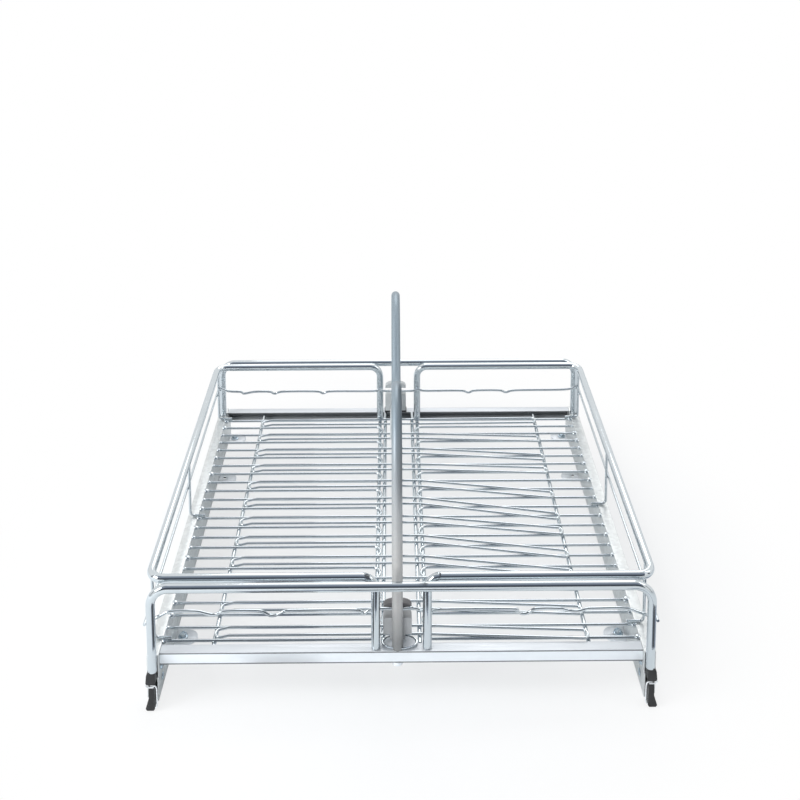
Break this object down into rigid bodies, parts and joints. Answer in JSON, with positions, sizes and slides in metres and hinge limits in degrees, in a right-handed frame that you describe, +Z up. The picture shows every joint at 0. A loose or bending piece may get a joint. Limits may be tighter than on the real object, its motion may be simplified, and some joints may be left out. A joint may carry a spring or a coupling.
{
  "type": "pull-out cabinet drawer",
  "caption": "Welded chrome wire basket that pulls out of a base cabinet on floor-mounted roller rails, with a lift-out M-shaped divider on its centre line.",
  "frame": {"origin": "middle of the whole drawer's plan, on the cabinet's floor", "axes": "+X to the right seen from the front, +Y to the back of the cabinet, +Z up; the drawer pulls out along -Y"},
  "size_m": [0.564, 0.5628, 0.3104],
  "materials": {
    "left_rim": "bright chrome plate over welded steel wire",
    "left_floor_mat": "bright chrome plate over welded steel wire",
    "left_fixed_rail": "rolled steel strip, satin zinc",
    "left_moving_rail": "rolled steel strip, satin zinc",
    "left_fixed_rail_cap": "moulded black plastic",
    "left_moving_rail_cap": "moulded black plastic",
    "left_rail_screw": "bright zinc plate, passivated blue",
    "left_front_roller": "moulded natural nylon",
    "left_rear_roller": "moulded natural nylon",
    "left_front_axle": "bright zinc plate, passivated blue",
    "left_rear_axle": "bright zinc plate, passivated blue",
    "left_front_foot": "bright zinc plate, passivated blue",
    "left_front_foot_bolt": "bright zinc plate, passivated blue",
    "left_middle_foot": "bright zinc plate, passivated blue",
    "left_rear_foot": "bright zinc plate, passivated blue",
    "left_rear_foot_bolt": "bright zinc plate, passivated blue",
    "left_side_wires": "bright chrome plate over welded steel wire",
    "right_rim": "bright chrome plate over welded steel wire",
    "right_floor_mat": "bright chrome plate over welded steel wire",
    "right_fixed_rail": "rolled steel strip, satin zinc",
    "right_moving_rail": "rolled steel strip, satin zinc",
    "right_fixed_rail_cap": "moulded black plastic",
    "right_moving_rail_cap": "moulded black plastic",
    "right_rail_screw": "bright zinc plate, passivated blue",
    "right_front_roller": "moulded natural nylon",
    "right_rear_roller": "moulded natural nylon",
    "right_front_axle": "bright zinc plate, passivated blue",
    "right_rear_axle": "bright zinc plate, passivated blue",
    "right_front_foot": "bright zinc plate, passivated blue",
    "right_front_foot_bolt": "bright zinc plate, passivated blue",
    "right_middle_foot": "bright zinc plate, passivated blue",
    "right_rear_foot": "bright zinc plate, passivated blue",
    "right_rear_foot_bolt": "bright zinc plate, passivated blue",
    "right_side_wires": "bright chrome plate over welded steel wire",
    "centre_floor_grid": "bright chrome plate over welded steel wire",
    "front_handle": "bright chrome plate over welded steel wire",
    "rear_handle": "bright chrome plate over welded steel wire",
    "front_mid_wire": "bright chrome plate over welded steel wire",
    "rear_mid_wire": "bright chrome plate over welded steel wire",
    "front_cross_bar": "bright zinc plate, passivated blue",
    "rear_cross_bar": "bright zinc plate, passivated blue",
    "outer_divider_rod": "grey-blue satin coating baked over a steel rod",
    "inner_divider_rod": "grey-blue satin coating baked over a steel rod",
    "outer_rod_spigot": "bright zinc plate, passivated blue",
    "front_divider_foot": "moulded grey plastic, fine matt",
    "rear_divider_foot": "moulded grey plastic, fine matt",
    "front_saddle_plate": "bright chrome plate over welded steel wire",
    "rear_pad": "moulded black plastic",
    "front_lock_knob": "moulded grey plastic, fine matt",
    "rear_lock_knob": "moulded grey plastic, fine matt",
    "front_lock_spring": "cold-drawn spring wire",
    "rear_lock_spring": "cold-drawn spring wire"
  },
  "bodies": {
    "fixed_rails": {"left_fixed_rail": "left_fixed_rail", "left_fixed_rail_cap": "left_fixed_rail_cap", "left_front_axle": "left_front_axle", "left_front_foot": "left_front_foot", "left_front_foot_bolt": "left_front_foot_bolt", "left_middle_foot": "left_middle_foot", "left_rear_foot": "left_rear_foot", "left_rear_foot_bolt": "left_rear_foot_bolt", "right_fixed_rail": "right_fixed_rail", "right_fixed_rail_cap": "right_fixed_rail_cap", "right_front_axle": "right_front_axle", "right_front_foot": "right_front_foot", "right_front_foot_bolt": "right_front_foot_bolt", "right_middle_foot": "right_middle_foot", "right_rear_foot": "right_rear_foot", "right_rear_foot_bolt": "right_rear_foot_bolt"},
    "drawer": {"left_rim": "left_rim", "left_floor_mat": "left_floor_mat", "left_moving_rail": "left_moving_rail", "left_moving_rail_cap": "left_moving_rail_cap", "left_rail_screw": "left_rail_screw", "left_rear_axle": "left_rear_axle", "left_side_wires": "left_side_wires", "right_rim": "right_rim", "right_floor_mat": "right_floor_mat", "right_moving_rail": "right_moving_rail", "right_moving_rail_cap": "right_moving_rail_cap", "right_rail_screw": "right_rail_screw", "right_rear_axle": "right_rear_axle", "right_side_wires": "right_side_wires", "centre_floor_grid": "centre_floor_grid", "front_handle": "front_handle", "rear_handle": "rear_handle", "front_mid_wire": "front_mid_wire", "rear_mid_wire": "rear_mid_wire", "front_cross_bar": "front_cross_bar", "rear_cross_bar": "rear_cross_bar", "outer_rod_spigot": "outer_rod_spigot", "front_divider_foot": "front_divider_foot", "rear_divider_foot": "rear_divider_foot", "front_saddle_plate": "front_saddle_plate", "rear_pad": "rear_pad", "front_lock_spring": "front_lock_spring", "rear_lock_spring": "rear_lock_spring"},
    "front_lock_knob": {"front_lock_knob": "front_lock_knob"},
    "inner_divider_rod": {"inner_divider_rod": "inner_divider_rod"},
    "left_front_roller": {"left_front_roller": "left_front_roller"},
    "left_rear_roller": {"left_rear_roller": "left_rear_roller"},
    "outer_divider_rod": {"outer_divider_rod": "outer_divider_rod"},
    "rear_lock_knob": {"rear_lock_knob": "rear_lock_knob"},
    "right_front_roller": {"right_front_roller": "right_front_roller"},
    "right_rear_roller": {"right_rear_roller": "right_rear_roller"}
  },
  "joints": [
    {"name": "drawer_slide", "type": "slide", "parent": "fixed_rails", "child": "drawer", "axis": [0, -1, 0], "range_m": [0, 0.4]},
    {"name": "left_front_roller_spin", "type": "hinge", "parent": "fixed_rails", "child": "left_front_roller", "pos_m": [-0.27465, -0.24837, 0.016], "axis": [1, 0, 0], "continuous": true},
    {"name": "left_rear_roller_spin", "type": "hinge", "parent": "drawer", "child": "left_rear_roller", "pos_m": [-0.27465, 0.23597, 0.0151], "axis": [1, 0, 0], "continuous": true},
    {"name": "right_front_roller_spin", "type": "hinge", "parent": "fixed_rails", "child": "right_front_roller", "pos_m": [0.27465, -0.24837, 0.016], "axis": [1, 0, 0], "continuous": true},
    {"name": "right_rear_roller_spin", "type": "hinge", "parent": "drawer", "child": "right_rear_roller", "pos_m": [0.27465, 0.23597, 0.0151], "axis": [1, 0, 0], "continuous": true},
    {"name": "front_lock_pull", "type": "slide", "parent": "drawer", "child": "front_lock_knob", "axis": [0, 0, 1], "range_m": [0, 0.006], "stiffness_N_per_m": 150, "springref_m": -0.004, "deforming": ["front_lock_spring"]},
    {"name": "rear_lock_pull", "type": "slide", "parent": "drawer", "child": "rear_lock_knob", "axis": [0, 0, 1], "range_m": [0, 0.006], "stiffness_N_per_m": 150, "springref_m": -0.004, "deforming": ["rear_lock_spring"]},
    {"name": "outer_rod_lift", "type": "slide", "parent": "drawer", "child": "outer_divider_rod", "axis": [0, 0, 1], "range_m": [0, 0.02]},
    {"name": "inner_rod_lift", "type": "slide", "parent": "drawer", "child": "inner_divider_rod", "axis": [0, 0, 1], "range_m": [0, 0.02]}
  ],
  "couplings": [
    {"joint": "left_front_roller_spin", "follows": "drawer_slide", "rad_per_m": 90.909},
    {"joint": "left_rear_roller_spin", "follows": "drawer_slide", "rad_per_m": 90.909},
    {"joint": "right_front_roller_spin", "follows": "drawer_slide", "rad_per_m": 90.909},
    {"joint": "right_rear_roller_spin", "follows": "drawer_slide", "rad_per_m": 90.909}
  ]
}
